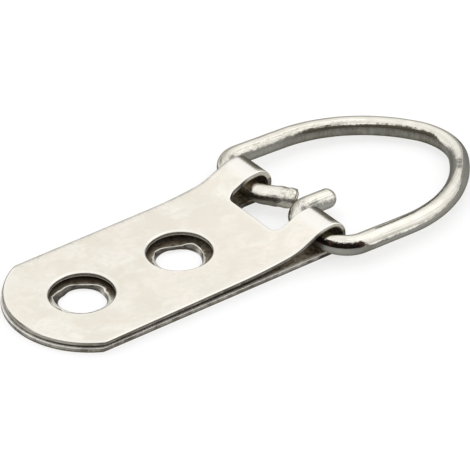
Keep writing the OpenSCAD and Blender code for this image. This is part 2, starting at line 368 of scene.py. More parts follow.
def nearest(p, q, chunk=1500):
    """Distance from each point of p to the nearest point of q."""
    out = np.empty(len(p))
    for i in range(0, len(p), chunk):
        part = p[i:i + chunk]
        out[i:i + chunk] = np.hypot(part[:, 0][:, None] - q[:, 0], part[:, 1][:, None] - q[:, 1]).min(1)
    return out


def angle_round(pts, side):
    """Angle of each point round a screw hole, in degrees."""
    return np.degrees(np.arctan2(pts[:, 1], pts[:, 0] - side * HOLE_PITCH / 2 - LOWER_REACH))


def rim_rows(pts, kind, side):
    """Rows of an edge from the outer face to the inner one: (inset, height, material of the strip before it)."""
    h = SHEET_T / 2
    roll, soft, _ = ROLLS[kind]
    screw = kind == "screw"
    rows = [(0.45, -h, FACE), (0.2, -h, FACE)] if screw else []
    for t in (0, 18, 36, 54, 72, 90):
        if t or screw:
            material = FACE if t <= 72 else WALL
            rows.append((roll * (1 - math.sin(rad(t))), -h + roll * (1 - math.cos(rad(t))), material))
    if not screw:
        rows += [(0.0, -h + roll + 0.08, WALL), (0.008, 0.05, WALL), (0.02, h - soft - 0.04, WALL),
                 (0.02, h - soft, WALL)]
        for t in (60, 30):
            rows.append((0.02 + soft * (1 - math.sin(rad(t))), h - soft * (1 - math.cos(rad(t))), INNER))
        return rows
    # a torn hole: the wall leans out to its top rim, and a lip stands up beside that
    m = len(pts)
    top = np.interp(angle_round(pts, side), *np.transpose(TORN_RIMS[side]), period=360) - SCREW_D / 2
    top = top + 0.012 * smooth_noise(5 + side, m, (9, 14, 21, 33))
    burr = 0.035 + 0.03 * smooth_noise(8 + side, m, (1, 2, 4, 7, 11))
    lip = 0.15 + 0.07 * smooth_noise(17 + side, m, (3, 5, 8, 13, 19))
    return rows + [(0.0, -0.02, WALL), (top * 0.25, 0.07, WALL), (top * 0.7, 0.16, WALL),
                   (top - 0.012, h - 0.03, WALL), (top + 0.004, h + burr * 0.7, FACE),
                   (top + lip * 0.45, h + burr, FACE), (top + lip, h + burr * 0.7, FACE),
                   (top + lip + 0.06, h + 0.002, FACE), (top * 0.4 + 0.50, h, INNER)]


def grid_normals(grid):
    """Normals of rows of points round a closed loop, by differences."""
    du = np.roll(grid, -1, 1) - np.roll(grid, 1, 1)
    dv = np.empty_like(grid)
    dv[1:-1] = grid[2:] - grid[:-2]
    dv[0], dv[-1] = grid[1] - grid[0], grid[-1] - grid[-2]
    n = np.cross(du, dv)
    return n / np.maximum(np.linalg.norm(n, axis=2, keepdims=True), 1e-12)


def flat_mesh(loops):
    """The blank cut into triangles inside its rims: points in s and y, triangles, and where each rim starts."""
    flat, edges, starts, limits, grid = [], [], [], [], []
    for pts, kind, _ in loops:
        n, inset, start = inward(pts), ROLLS[kind][2], len(flat)
        starts.append(start)
        limits.append((pts + n * inset, kind == "outline"))
        flat += [tuple(p) for p in limits[-1][0]]
        edges += [(start + i, start + (i + 1) % len(pts)) for i in range(len(pts))]
        if kind != "screw":
            for gap, nth in RIM_BANDS:
                grid += [tuple(p) for p in (pts + n * (inset + gap))[::nth]]
    bent_from, bent_to = S_FOLD - 0.3, float(upper_s(BENT_TO_X))
    s, row = 0.0, 0
    while s < STRIP_LEN:
        s_step, y_step = BENT_GRID if bent_from < s < bent_to else FLAT_GRID
        grid += [(s, y) for y in np.arange(-HALF_W + (row % 2) * y_step / 2, HALF_W, y_step)]
        s += s_step
        row += 1
    grid = np.array(grid)
    keep = np.ones(len(grid), bool)
    for line, outer in limits:
        keep &= (inside(grid, line) == outer) & (nearest(grid, line) > RIM_CLEAR)
    flat += [tuple(p) for p in grid[keep]]
    vs, _, fs, _, _, _ = delaunay_2d_cdt([Vector(p) for p in flat], edges, [], 0, 1e-6)
    assert len(vs) == len(flat)
    vs = np.array([(v.x, v.y) for v in vs])
    fs = np.array([f for f in fs if len(f) == 3])
    for line, outer in limits:
        fs = fs[inside(vs[fs].mean(1), line) == outer]
    e1, e2 = vs[fs[:, 1]] - vs[fs[:, 0]], vs[fs[:, 2]] - vs[fs[:, 0]]
    flip = e1[:, 0] * e2[:, 1] - e1[:, 1] * e2[:, 0] < 0
    fs[flip] = fs[flip][:, ::-1]
    return vs, fs, starts


# What is painted on the strap, as values at its points: rim (paler plate beside an edge, burnished and a painted
# highlight), open (pale, less metallic on the lower leaf's free edge and in two patches on the first screw hole's
# lip), fold (painted shade on the knuckle fronts), depth (0 on the outer face, 1 on the inner one), crest (painted
# highlights) and shade (painted shade and shadow).
def slope(s):
    """The sheet's slope at s in degrees: 180 on the lower leaf, 90 at the fold's nose, 0 on the crest."""
    return 180 - np.degrees(along(STRIP, s)[2])


def knuckle_front_shade(s, y):
    """Painted shade on the front of each knuckle, fading out at its near edge."""
    edge = np.where(y > 0, WINDOW_W / 2, -HALF_W)
    return rise(slope(s), 2, 5) * drop(slope(s), 165, 20) * rise(y - edge, 0.1, 0.55)


def knuckle_highlight(s, behind, ahead):
    """A painted highlight on the top of the knuckles, from some degrees behind the crest to some ahead of it."""
    return rise(slope(s), -behind, 9) * drop(slope(s), ahead, 9) * drop(s, S_RAMP + 0.2, 0.4)


def shade_between_leaves(s):
    """Painted shade on the plate round the screw holes, between the leaves."""
    return np.interp(s - LOWER_REACH, [0, 1.5, 8, 9.5], [1, 0.78, 0.78, 0])


def face_paint(vs, loops):
    """For each value, its lists for the outer face and the inner one."""
    s, y = vs[:, 0], vs[:, 1]
    # paler plate beside every edge: burnished, and a painted highlight
    rim = 1 - rise(nearest(vs, np.vstack([pts for pts, _, _ in loops])), 0.1, 0.4)
    # a pale, less metallic strip along the lower leaf's free edge
    free_end = (1 - rise(nearest(vs, loops[0][0]), 0.15, 0.3)) * (s < S_FOLD)
    # painted shade on the knuckle fronts, and along the upper leaf's far long edge
    front = knuckle_front_shade(s, y)
    far_side = 0.6 * rise(y, HALF_W - 0.45, 0.3) * (s > S_FOLD + 3)
    none, full = np.zeros(len(vs)), np.ones(len(vs))
    return {"rim": [rim, rim], "open": [free_end, free_end.copy()], "fold": [front, front],
            "depth": [none, full], "crest": [knuckle_highlight(s, 25, 8), none],
            "shade": [far_side, shade_between_leaves(s)]}


def rim_marks(pts, n, kind, side):
    """Marks that depend only on the place round a rim."""
    s, outline, screw = pts[:, 0], kind == "outline", kind == "screw"
    angle = angle_round(pts, side)
    # painted highlights at two places round each screw hole
    lit = 0.9 * sum(peak(angle, at, 13) for at in (-2, -170))
    return {
        # painted shade on edges of the upper leaf that face away to the far side, and a painted highlight on its
        # free end; round the screw holes, painted highlights where lit and painted shade on the rest of the rim
        "dark": (0.55 * (1 - lit) if screw else
                 rise(-0.6 * n[:, 0] - 0.8 * n[:, 1], 0.25, 0.3) * (s > S_FOLD + 3) * outline),
        "bright": lit if screw else 0.4 * rise(-n[:, 0], 0.5, 0.3) * (s > S_FOLD + 20) * outline,
        # painted shadow on the walls low in the window, beside the fold and in the screw holes
        "recess_shade": (0.62 * (1 - lit) if screw else
                  rise(s, S_FOLD - (4 if kind == "window" else 1.8), 0.5) * drop(s, S_FOLD + 2.2, 1)),
        # the first screw hole's raised lip is painted pale and less metallic in two places
        "lip_patches": screw * (side < 0) * sum(peak(angle, at, width) for at, width in ((-54, 15), (166, 12))),
        # painted shade from the gap between the leaves runs along the foot of the upper leaf's edge, broadest on
        # the near side
        "lid": (s > S_FOLD + 2) * outline,
        "near": rise(n[:, 1], 0.2, 0.4)}


def row_paint(marks, pts, kind, q, height, material):
    """The painted values of one row of a rim: q are its points in s and y."""
    outline, lip_patches, near = kind == "outline", marks["lip_patches"], marks["near"]
    level = height / SHEET_T + 0.5
    # painted shade from the gap between the leaves, low on the upper leaf's edge
    gap_shade = marks["lid"] * rise(level, 0.8 - 0.20 * near, 0.14) * (0.75 + 0.34 * near)
    if material == FACE:
        # painted highlight on the knuckle tops, and painted shade on far edges and round the screw holes
        crest, shade = knuckle_highlight(q[:, 0], 25, 8), marks["dark"]
    else:
        # painted highlights on the walls: beside the knuckle tops, low in the head holes, and where the rim marks
        # put them
        glint = rise(height, 0, 0.22 * SHEET_T) if kind == "head" else marks["bright"]
        crest = np.maximum(knuckle_highlight(q[:, 0], 24, 72), glint)
        # painted shadow on the walls; on the inner face, painted shade between the leaves
        recess_shade = marks["recess_shade"] if material == WALL else shade_between_leaves(pts[:, 0]) * (1 - 0.85 * lip_patches)
        shade = np.maximum(recess_shade, gap_shade)
    return {"rim": np.ones(len(pts)), "open": np.maximum((pts[:, 0] < S_FOLD) * float(outline), lip_patches),
            "fold": knuckle_front_shade(q[:, 0], q[:, 1]), "depth": np.clip(level, 0, 1),
            "crest": crest, "shade": shade}


def build_strap():
    """The folded strap as one closed mesh with rolled edges, sheared walls and torn rims round the screw holes."""
    loops = strap_loops()
    vs, fs, starts = flat_mesh(loops)
    nv, h = len(vs), SHEET_T / 2
    heading = along(STRIP, vs[:, 0])[2]
    out = np.stack([np.sin(heading), np.zeros(nv), -np.cos(heading)], -1)
    verts = [sheet_point(vs[:, 0], vs[:, 1], -h), sheet_point(vs[:, 0], vs[:, 1], h)]
    norms = [out, -out]
    faces = [tuple(f) for f in fs[:, ::-1]] + [tuple(f + nv) for f in fs]
    mats = [FACE] * len(fs) + [INNER] * len(fs)
    paint = face_paint(vs, loops)
    base = 2 * nv
    for (pts, kind, side), start in zip(loops, starts):
        m, n = len(pts), inward(pts)
        marks, rows = rim_marks(pts, n, kind, side), rim_rows(pts, kind, side)
        grid, ids = [verts[0][start:start + m]], [list(range(start, start + m))]
        for inset, height, material in rows:
            inset = np.asarray(inset, float) + TRIM * (kind == "outline")
            q = pts + n * np.broadcast_to(inset, (m,))[:, None]
            height = np.broadcast_to(np.asarray(height, float), (m,))
            grid.append(sheet_point(q[:, 0], q[:, 1], height))
            ids.append(list(range(base, base + m)))
            base += m
            for key, value in row_paint(marks, pts, kind, q, height, material).items():
                paint[key].append(value)
        if kind == "screw":
            # the two pale patches on the first screw hole's lip take less painted shade
            paint["shade"][1][start:start + m] *= 1 - 0.85 * marks["lip_patches"]
            paint["open"][1][start:start + m] = 0.85 * marks["lip_patches"]
        grid.append(verts[1][start:start + m])
        ids.append(list(range(start + nv, start + nv + m)))
        grid = np.array(grid)
        gn = grid_normals(grid)
        if (gn[0] * norms[0][start:start + m]).sum() < 0:
            gn = -gn
        verts.append(grid[1:-1].reshape(-1, 3))
        norms.append(gn[1:-1].reshape(-1, 3))
        for r0, r1, material in zip(ids, ids[1:], [row[2] for row in rows] + [INNER]):
            faces += [(r0[i], r0[(i + 1) % m], r1[(i + 1) % m], r1[i]) for i in range(m)]
            mats += [material] * m
    return np.vstack(verts), faces, mats, np.vstack(norms), {k: np.concatenate(v) for k, v in paint.items()}


def make_mesh(name, verts, faces, paint, mats=None, norms=None):
    """A smooth-shaded object from points in millimetres, with its painted values as attributes."""
    me = bpy.data.meshes.new(name)
    me.from_pydata([tuple(v) for v in np.asarray(verts) * MM], [], [tuple(int(i) for i in f) for f in faces])
    me.validate()
    me.update()
    me.polygons.foreach_set("use_smooth", [True] * len(me.polygons))
    if mats is not None:
        me.polygons.foreach_set("material_index", mats)
    for key, val in paint.items():
        if np.ndim(val) == 2:
            me.attributes.new(key, "FLOAT_VECTOR", "POINT").data.foreach_set("vector", np.ravel(val))
        else:
            me.attributes.new(key, "FLOAT", "POINT").data.foreach_set("value", val)
    if norms is not None:
        nn = np.asarray(norms, float)
        nn /= np.maximum(np.linalg.norm(nn, axis=1, keepdims=True), 1e-9)
        me.normals_split_custom_set_from_vertices([tuple(v) for v in nn])
    ob = bpy.data.objects.new(name, me)
    bpy.context.collection.objects.link(ob)
    return ob


ELBOW_V, FAR_V = WINDOW_W / 2 - ELBOW_ROOM, WINDOW_W / 2 - FAR_ROOM
SIDE_V = HALF_W + SIDE_ROOM + WIRE_R


def wire_path():
    """The wire's middle line in the ring's plane, from its rounded end round the D to its cropped end."""
    flank = math.acos((FLANK_R - SIDE_V) / (FLANK_R - TIP_R))
    side_len = RING_LEN - TIP_R - (FLANK_R - TIP_R) * math.sin(flank) - BEND_R
    q = math.pi / 2
    return [(STUB_LEN, 0), (ELBOW_R, q), (SIDE_V - SIDE_SHIFT - BEND_R - ELBOW_V, 0), (BEND_R, q),
            (side_len, 0), (FLANK_R, flank), (TIP_R, math.pi - 2 * flank), (FLANK_R, flank),
            (side_len, 0), (BEND_R, q), (SIDE_V + SIDE_SHIFT - BEND_R - FAR_V, 0),
            (FAR_BEND_R, FAR_TURN), (FAR_LEN, 0)]


WIRE = wire_path()
WIRE_LEN = run_starts(WIRE)[-1][3]
BAR_X, BAR_Z = FOLD_X - BAR_SETBACK, SHEET_T + WIRE_R + BAR_PLAY
RING_FALL = math.asin((BAR_Z - WIRE_R) / RING_LEN)


def ring_place(x, y, w):
    """From the flat layout of the wire, w above its plane, to the ring where it lies."""
    u = ELBOW_R - (x - STUB_LEN)
    v = ELBOW_R - ELBOW_V - y
    c, s = math.cos(RING_FALL), math.sin(RING_FALL)
    return np.stack([BAR_X + u * c + w * s, v, BAR_Z - u * s + w * c], axis=-1)


def drawn_radius(s, t, phase):
    """The wire's radius round it at length s: slightly uneven, swollen where the cutter gripped it near the far
    end, and drawn in at the torn face."""
    r = DRAWN_R - 0.006 * (1 + np.sin(0.9 * s + phase[0]) * np.cos(2 * t + phase[1]))
    r = r - 0.003 * (1 + np.sin(2.3 * s + phase[2] + 3 * t))
    to_end = WIRE_LEN - s
    if to_end < GRIP_LEN:
        grip = math.sin(math.pi * (to_end / GRIP_LEN)) ** 0.7
        r = r * (1 + grip * (0.075 * np.clip(-np.sin(t), 0, 1) + 0.03 * np.sin(3 * t + 5.1 * s)
                             + 0.018 * np.sin(5 * t + 2.3 * s)))
        torn = max(0.0, 1 - to_end / TORN_LEN)
        r = r * (1 - torn * torn * (0.16 + 0.05 * np.cos(2 * t + 0.5) + 0.03 * np.sin(5 * t + 1)))
    return r


def zones(table, s, t):
    """A table's marks on the wire, added up."""
    return sum(strength * band(s, s0, s1, s_soft) * band(t, t0, t1, t_soft)
               for strength, s0, s1, s_soft, t0, t1, t_soft in table)


def ring_paint(s, t):
    """What is painted on the wire, by the length s along it and the angle t round it in degrees."""
    # painted shade and dark reflections on the wire's inner and outer sides, widened by a painted dark reflection
    # line on the near side and by a band of it over the top of the near flank
    painted_shade = np.maximum(read_off(SHADE_IN, s) - t, t - read_off(SHADE_OUT, s)) / read_off(SHADE_SOFT, s)
    near_line_shade = (7 - np.abs(t - read_off(SHADE_LINE, s))) / 40 - 3 * (1 - band(s, 13.8, 24.5, 1.5))
    top_band = (12 - np.abs(t - 88)) / 110 - 0.5 * (1 - band(s, 28.4, 32.2, 2.5))
    painted_shade = 0.5 + np.maximum(np.maximum(painted_shade, near_line_shade), top_band)
    off_bottom = np.minimum(np.abs(t - 270), np.abs(t + 90))        # the painted shade stops short of the very bottom
    # where the painted shade is paler
    pale = (drop(s, 14, 3) * rise(t, 164, 8) + 1.4 * drop(s, 3.6, 1.5) * (t < 120)
            + 0.7 * rise(s, 51.5, 4) * (s < 62) * drop(t, 44, 10)
            + 1.1 * band(s, 13.6, 34, 1.5) * rise(t, read_off(PALE_OUT, s), 8)
            + 1.4 * band(s, 23, 35, 2) * drop(t, 64, 10) + 1.2 * band(s, 27.5, 33.5, 1.5))
    return {"painted_shade": np.minimum(painted_shade, 0.5 + (off_bottom - 36) / 50).clip(0, 1), "pale": pale.clip(0, 1.4),
            "deep": zones(DEEPEST_SHADE, s, t), "reddish_reflection": zones(DARK_REFLECTION, s, t), "pepper": zones(PEPPER, s, t),
            "line": zones(REFLECTION_LINES, s, t), "crop": rise(s, WIRE_LEN - 1.9, 0.7),
            "lay": np.stack([s, np.cos(np.radians(t)), np.sin(np.radians(t))], -1)}


def build_ring():
    """The wire as one closed tube: rounded near end, drawn surface, and a cropped far end with a torn lip."""
    starts = run_starts(WIRE)
    s = [0.0]
    for i, (size, turn) in enumerate(WIRE):
        s0, s1 = starts[i][3], starts[i + 1][3]
        fine = (turn and size < TIGHT_R) or i in (0, len(WIRE) - 1)
        n = max(int(math.ceil((s1 - s0) / (BEND_STEP if fine else WIRE_STEP))), 2)
        s += list(np.linspace(s0, s1, n + 1)[1:])
    s = np.array(s)
    x, y, a = along(WIRE, s)
    t = np.linspace(0, 2 * math.pi, WIRE_SIDES, endpoint=False)

    def row(k, radius, push=0.0):
        """One ring of points round the wire at s[k], square to it and moved along it by push."""
        r = np.broadcast_to(np.asarray(radius, float), t.shape)
        p = np.broadcast_to(np.asarray(push, float), t.shape)
        return ring_place(x[k] + np.cos(a[k]) * p - np.sin(a[k]) * r * np.cos(t),
                          y[k] + np.sin(a[k]) * p + np.cos(a[k]) * r * np.cos(t), r * np.sin(t))

    rows = []
    for j in range(1, CAP_ROWS + 1):
        f = rad(90 * j / CAP_ROWS)
        wobble = 1 + 0.012 * np.sin(3 * t + 0.6) * math.sin(f)
        rows.append(row(0, DRAWN_R * math.sin(f) * wobble, -BLUNT * DRAWN_R * math.cos(f)))
    lumps = random.Random(4)
    phase = [lumps.uniform(0, 6.28) for _ in range(3)]
    rows += [row(k, drawn_radius(s[k], t, phase)) for k in range(1, len(s))]
    torn = 0.09 * np.sin(2 * t + 0.8) + 0.05 * np.sin(3 * t + 2.0) + 0.03 * np.sin(7 * t + 0.3)
    for share, out in TORN_FACE:
        r = DRAWN_R * TORN_SIZE * share * (1 + 0.04 * np.sin(2 * t + 0.5) + 0.03 * np.sin(5 * t))
        rows.append(row(-1, r, out - 0.1 + torn * share * (1.1 - share) * 2.2))
    verts = np.vstack(rows + [row(0, 0.0, -BLUNT * DRAWN_R)[:1], rows[-1].mean(0, keepdims=True)])
    m, last = WIRE_SIDES, (len(rows) - 1) * WIRE_SIDES
    near_tip, far_tip = len(verts) - 2, len(verts) - 1
    after = [(i + 1) % m for i in range(m)]
    faces = [(j + i, j + after[i], j + m + after[i], j + m + i) for j in range(0, last, m) for i in range(m)]
    for i in range(m):
        faces += [(near_tip, after[i], i), (last + i, last + after[i], far_tip)]
    lay_s = np.repeat(np.r_[np.zeros(CAP_ROWS), s[1:], np.full(len(TORN_FACE), WIRE_LEN)], m)
    lay_t = np.tile((np.degrees(t) + 90) % 360 - 90, len(rows))
    return verts, faces, ring_paint(np.r_[lay_s, 0.0, WIRE_LEN], np.r_[lay_t, 90.0, 90.0])


class Nodes:
    """Short helpers for building a node tree."""

    def __init__(self, tree):
        self.tree = tree

    def add(self, kind, **props):
        """A new node with its properties, and the values of its sockets as inputs."""
        n = self.tree.nodes.new(kind)
        for k, v in props.items():
            if k == "inputs":
                for name, val in v.items():
                    n.inputs[name].default_value = val
            else:
                setattr(n, k, v)
        return n

    def link(self, output, socket):
        self.tree.links.new(output, socket)

    def attributes(self, *names):
        """The painted values of these names."""
        return [self.add("ShaderNodeAttribute", attribute_name=k).outputs["Fac"] for k in names]

    def noise(self, coord, scale, detail, rough, distortion=0.0):
        """Cloudy noise of about 0.5, by its scale per metre."""
        n = self.add("ShaderNodeTexNoise", inputs={"Scale": scale, "Detail": detail, "Roughness": rough,
                                                  "Distortion": distortion})
        self.link(coord, n.inputs["Vector"])
        return n.outputs["Fac"]

    def mapping(self, coord, scale=(1, 1, 1), rot=(0, 0, 0)):
        """Coordinates stretched and turned, to give noise a direction."""
        n = self.add("ShaderNodeMapping", inputs={"Scale": scale, "Rotation": rot})
        self.link(coord, n.inputs["Vector"])
        return n.outputs["Vector"]

    def ramp(self, fac, stops):
        """A straight ramp through stops of (position, grey)."""
        n = self.add("ShaderNodeValToRGB")
        el = n.color_ramp.elements
        while len(el) < len(stops):
            el.new(0.5)
        for e, (p, c) in zip(el, stops):
            e.position = p
            e.color = (c, c, c, 1)
        self.link(fac, n.inputs["Fac"])
        return n.outputs["Color"]

    def math(self, op, a, b, clamp=False):
        """A maths node; a and b are sockets or numbers."""
        n = self.add("ShaderNodeMath", operation=op, use_clamp=clamp)
        for sock, v in zip(n.inputs, (a, b)):
            if isinstance(v, (int, float)):
                sock.default_value = v
            else:
                self.link(v, sock)
        return n.outputs[0]

    def times(self, a, b, clamp=False):
        return self.math("MULTIPLY", a, b, clamp)

    def plus(self, a, b):
        return self.math("ADD", a, b)

    def minus(self, a, b):
        return self.math("SUBTRACT", a, b)

    def mix(self, fac, a, b):
        """The colour a turned to b by fac; all three are sockets, numbers or colours."""
        n = self.add("ShaderNodeMix", data_type="RGBA", blend_type="MIX")
        for name, v in (("Factor", fac), ("A", a), ("B", b)):
            if isinstance(v, (int, float)):
                n.inputs[name].default_value = v
            elif isinstance(v, tuple):
                n.inputs[name].default_value = (*v, 1)
            else:
                self.link(v, n.inputs[name])
        return n.outputs["Result"]

    def over(self, col, fac, span, other):
        """Another colour laid over col as fac goes from span[0] to span[1]; span[2] is the most of it."""
        return self.mix(self.ramp(fac, [(span[0], 0.0), (span[1], span[2])]), col, other)

    def bump(self, bsdf, height, strength, distance):
        """Relief in a shader's normals, its distance in metres."""
        n = self.add("ShaderNodeBump", inputs={"Strength": strength, "Distance": distance})
        self.link(height, n.inputs["Height"])
        self.link(n.outputs[0], bsdf.inputs["Normal"])


def empty_tree(owner):
    """Node helpers on a material or world whose nodes have been cleared."""
    owner.use_nodes = True
    owner.node_tree.nodes.clear()
    return Nodes(owner.node_tree)


def new_material(name):
    """A material with its node helpers, its shader and its object coordinates."""
    mat = bpy.data.materials.new(name)
    g = empty_tree(mat)
    out = g.add("ShaderNodeOutputMaterial")
    bsdf = g.add("ShaderNodeBsdfPrincipled")
    g.link(bsdf.outputs[0], out.inputs[0])
    return mat, g, bsdf, g.add("ShaderNodeTexCoord").outputs["Object"]


def plated_face():
    """Bright nickel plate on flat sheet: soft mottling, faint rolling lines and scuffs, painted highlights on the
    knuckle tops and beside the edges (also burnished), and painted shade on the knuckle fronts, far edges and
    screw holes' rims.
    """
    mat, g, b, co = new_material("nickel_face")
    b.inputs["Metallic"].default_value = 1.0
    b.inputs["Specular Tint"].default_value = NICKEL_EDGE
    rim, fold, crest, shade = g.attributes("rim", "fold", "crest", "shade")
    mottle = g.noise(co, 420, 5, 0.55, 0.3)
    scuff = g.noise(g.mapping(co, (900, 300, 900), (0, 0, 0.5)), 1.0, 6, 0.7)
    dirt = g.ramp(scuff, [(0.62, 0.0), (0.8, 1.0)])
    drawn = g.noise(g.mapping(co, (90, 2200, 90)), 1.0, 4, 0.6)
    # painted shade on the knuckle fronts, streaked along the sheet
    painted_shade = g.times(fold, g.ramp(drawn, [(0.25, 0.80), (0.7, 1.0)]))

    col = g.over(PLATE_DIM, mottle, (0.41, 0.61, 1.0), PLATE_BRIGHT)
    col = g.over(col, g.noise(co, 160, 3, 0.5), (0.4, 0.65, 0.5), PLATE_ROSY)
    col = g.over(col, g.noise(g.mapping(co, rot=(1.0, 0.4, 2.0)), 210, 3, 0.5), (0.5, 0.7, 0.45), PLATE_GREEN)
    col = g.over(col, g.noise(co, 2000, 3, 0.6), (0.45, 0.65, 0.5), PLATE_GRAIN)
    col = g.mix(g.times(dirt, 0.15), col, PLATE_DIRT)
    # paler beside the edges (burnished, and a painted highlight), a painted highlight on the knuckle tops, and
    # painted shade on the knuckle fronts, far edges and screw holes' rims
    col = g.mix(g.times(rim, 0.6), col, PLATE_RIM)
    col = g.mix(g.times(crest, 0.8), col, PLATE_LIT)
    col = g.mix(painted_shade, col, KNUCKLE_SHADE)
    col = g.mix(g.times(shade, g.ramp(scuff, [(0.3, 0.45), (0.6, 1.0)])), col, FAR_DARK)
    g.link(col, b.inputs["Base Color"])

    rough = g.plus(g.times(mottle, 0.10), 0.17)
    rough = g.plus(g.plus(rough, g.times(dirt, 0.15)), g.times(painted_shade, 0.16))
    g.link(rough, b.inputs["Roughness"])
    rolled = g.noise(g.mapping(co, (60, 2600, 60)), 1.0, 3, 0.6)
    g.bump(b, g.plus(g.times(rolled, 0.5), g.times(g.noise(co, 900, 3, 0.5), 0.8)), 0.25, 0.00001)
    return mat


def worn_metal(name, colours, rough, scale, inner=False):
    """Thinly plated metal with brown stains, painted shade and shadow, and painted highlights on the walls: the
    sheared walls, or the face inside the fold.
    """
    mat, g, b, co = new_material(name)
    pale, dark, deep = colours
    depth, pale_mask, crest, recess_shade = g.attributes("depth", "open", "crest", "shade")
    streak = g.noise(g.mapping(co, scale), 1.0, 5, 0.65)
    patch = g.noise(co, 900, 4, 0.6)
    col = g.over(dark, streak, (0.35, 0.7, 1.0), pale)
    col = g.over(col, patch, (0.47, 0.62, 0.85), deep)
    if inner:
        pale_mask = g.times(pale_mask, g.ramp(patch, [(0.35, 1.0), (0.7, 0.7)]))
        blots = g.noise(g.mapping(co, (1900, 2600, 2600), (0, 0.3, 0.5)), 1.0, 4, 0.6, 0.6)
        col = g.over(col, blots, (0.50, 0.60, 0.65), INSIDE_PALE)
        col = g.mix(g.ramp(blots, [(0.38, 0.75), (0.47, 0.0)]), col, INSIDE_BLOT)
        # painted shade between the leaves and at the gap
        col = g.mix(g.times(recess_shade, 0.88), col, INSIDE_SHADE)
        col = g.mix(pale_mask, col, INSIDE_WHITE)
        g.link(g.minus(0.72, g.times(pale_mask, 0.5)), b.inputs["Metallic"])
    else:
        g.link(g.minus(1.0, g.times(crest, 0.6)), b.inputs["Metallic"])
        cut = g.ramp(g.plus(depth, g.times(g.minus(streak, 0.5), 0.25)), [(0.42, 1.0), (0.52, 0.0)])
        col = g.mix(cut, col, SHEARED_CUT)
        # painted highlights, then painted shadow and shade, on the walls
        col = g.mix(g.times(crest, 0.85), col, SHEARED_LIT)
        col = g.mix(g.times(recess_shade, 0.9, clamp=True), col, SHEARED_SHADE)
    g.link(col, b.inputs["Base Color"])
    g.link(g.plus(g.times(streak, 0.25), rough), b.inputs["Roughness"])
    g.bump(b, streak, 0.6, 0.00003)
    return mat


def plated_wire():
    """Nickel plate on drawn wire: bright on top; olive painted shade, painted reflections and scuffs on its inner
    and outer sides.
    """
    mat, g, b, co = new_material("nickel_wire")
    b.inputs["Metallic"].default_value = 1.0
    b.inputs["Specular Tint"].default_value = NICKEL_EDGE
    painted_shade, deep, reddish_reflection, pale = g.attributes("painted_shade", "deep", "reddish_reflection", "pale")
    crop, pepper, line = g.attributes("crop", "pepper", "line")
    lay = g.add("ShaderNodeAttribute", attribute_name="lay").outputs["Vector"]
    mottle = g.noise(co, 600, 5, 0.6, 0.4)
    scuff = g.noise(g.mapping(co, (900, 1500, 900), (0.3, 0.2, 0.4)), 1.0, 6, 0.7)
    speck = g.noise(co, 3200, 4, 0.65)
    lines = g.noise(g.mapping(lay, (0.12, 6.5, 6.5)), 1.0, 4, 0.7)
    rings = g.noise(g.mapping(lay, (2.2, 0.8, 0.8)), 1.0, 4, 0.7)
    dots = g.noise(g.mapping(lay, (2.0, 9.0, 9.0)), 1.0, 5, 0.75, 0.6)
    fine = g.plus(g.times(g.minus(scuff, 0.5), 0.32), g.times(g.minus(speck, 0.5), 0.30))

    col = g.over(WIRE_DIM, mottle, (0.35, 0.7, 1.0), WIRE_BRIGHT)
    col = g.over(col, lines, (0.46, 0.66, 0.6), WIRE_LINES)
    # a painted dark reflection line along the ring's near side, and a painted highlight line beside it
    col = g.mix(g.times(line, g.ramp(scuff, [(0.3, 0.35), (0.6, 0.75)]), clamp=True), col, WIRE_REFLECTION_DARK)
    col = g.mix(g.times(line, -1.0, clamp=True), col, WIRE_LIT)
    col = g.mix(g.times(pepper, g.ramp(dots, [(0.46, 0.0), (0.62, 0.8)])), col, WIRE_PEPPER)
    col = g.mix(g.times(crop, g.ramp(speck, [(0.45, 0.0), (0.6, 0.6)])), col, WIRE_CROP)

    # the colour of the painted shade and reflections: mottled grey, paler and deeper in places, with a painted
    # dark reddish reflection at the near corner
    grey = g.over(SHADE_DARK, g.plus(g.times(scuff, 0.5), g.times(rings, 0.5)), (0.38, 0.62, 1.0), SHADE_GREY)
    grey = g.mix(g.times(pale, 0.7), grey, SHADE_PALE)
    grey = g.over(grey, g.plus(deep, g.times(fine, 1.6)), (0.35, 0.75, 1.0), SHADE_DEEP)
    reflection_colour = g.over(DARK_REFLECTION_BLACK, scuff, (0.46, 0.62, 1.0), DARK_REFLECTION_RED)
    grey = g.over(grey, g.plus(reddish_reflection, g.times(fine, 1.2)), (0.4, 0.6, 1.0), reflection_colour)

    # where the painted shade lies, with a frayed edge, and less of it at the cropped end
    frayed = g.plus(painted_shade, g.plus(fine, g.times(g.minus(lines, 0.5), 0.45)))
    painted_shade = g.times(g.ramp(frayed, [(0.45, 0.0), (0.57, 1.0)]), g.minus(1.0, g.times(crop, 0.35)))
    g.link(g.mix(painted_shade, col, grey), b.inputs["Base Color"])
    g.link(g.plus(g.plus(g.times(mottle, 0.08), 0.10), g.times(painted_shade, 0.30)), b.inputs["Roughness"])
    grain = g.plus(g.times(scuff, 0.8), g.times(speck, 0.45))
    grain = g.times(grain, g.plus(g.times(painted_shade, 0.5), g.plus(0.22, crop)))
    g.bump(b, g.plus(g.times(g.noise(co, 420, 2, 0.5), 0.5), grain), 0.8, 0.00006)
    return mat


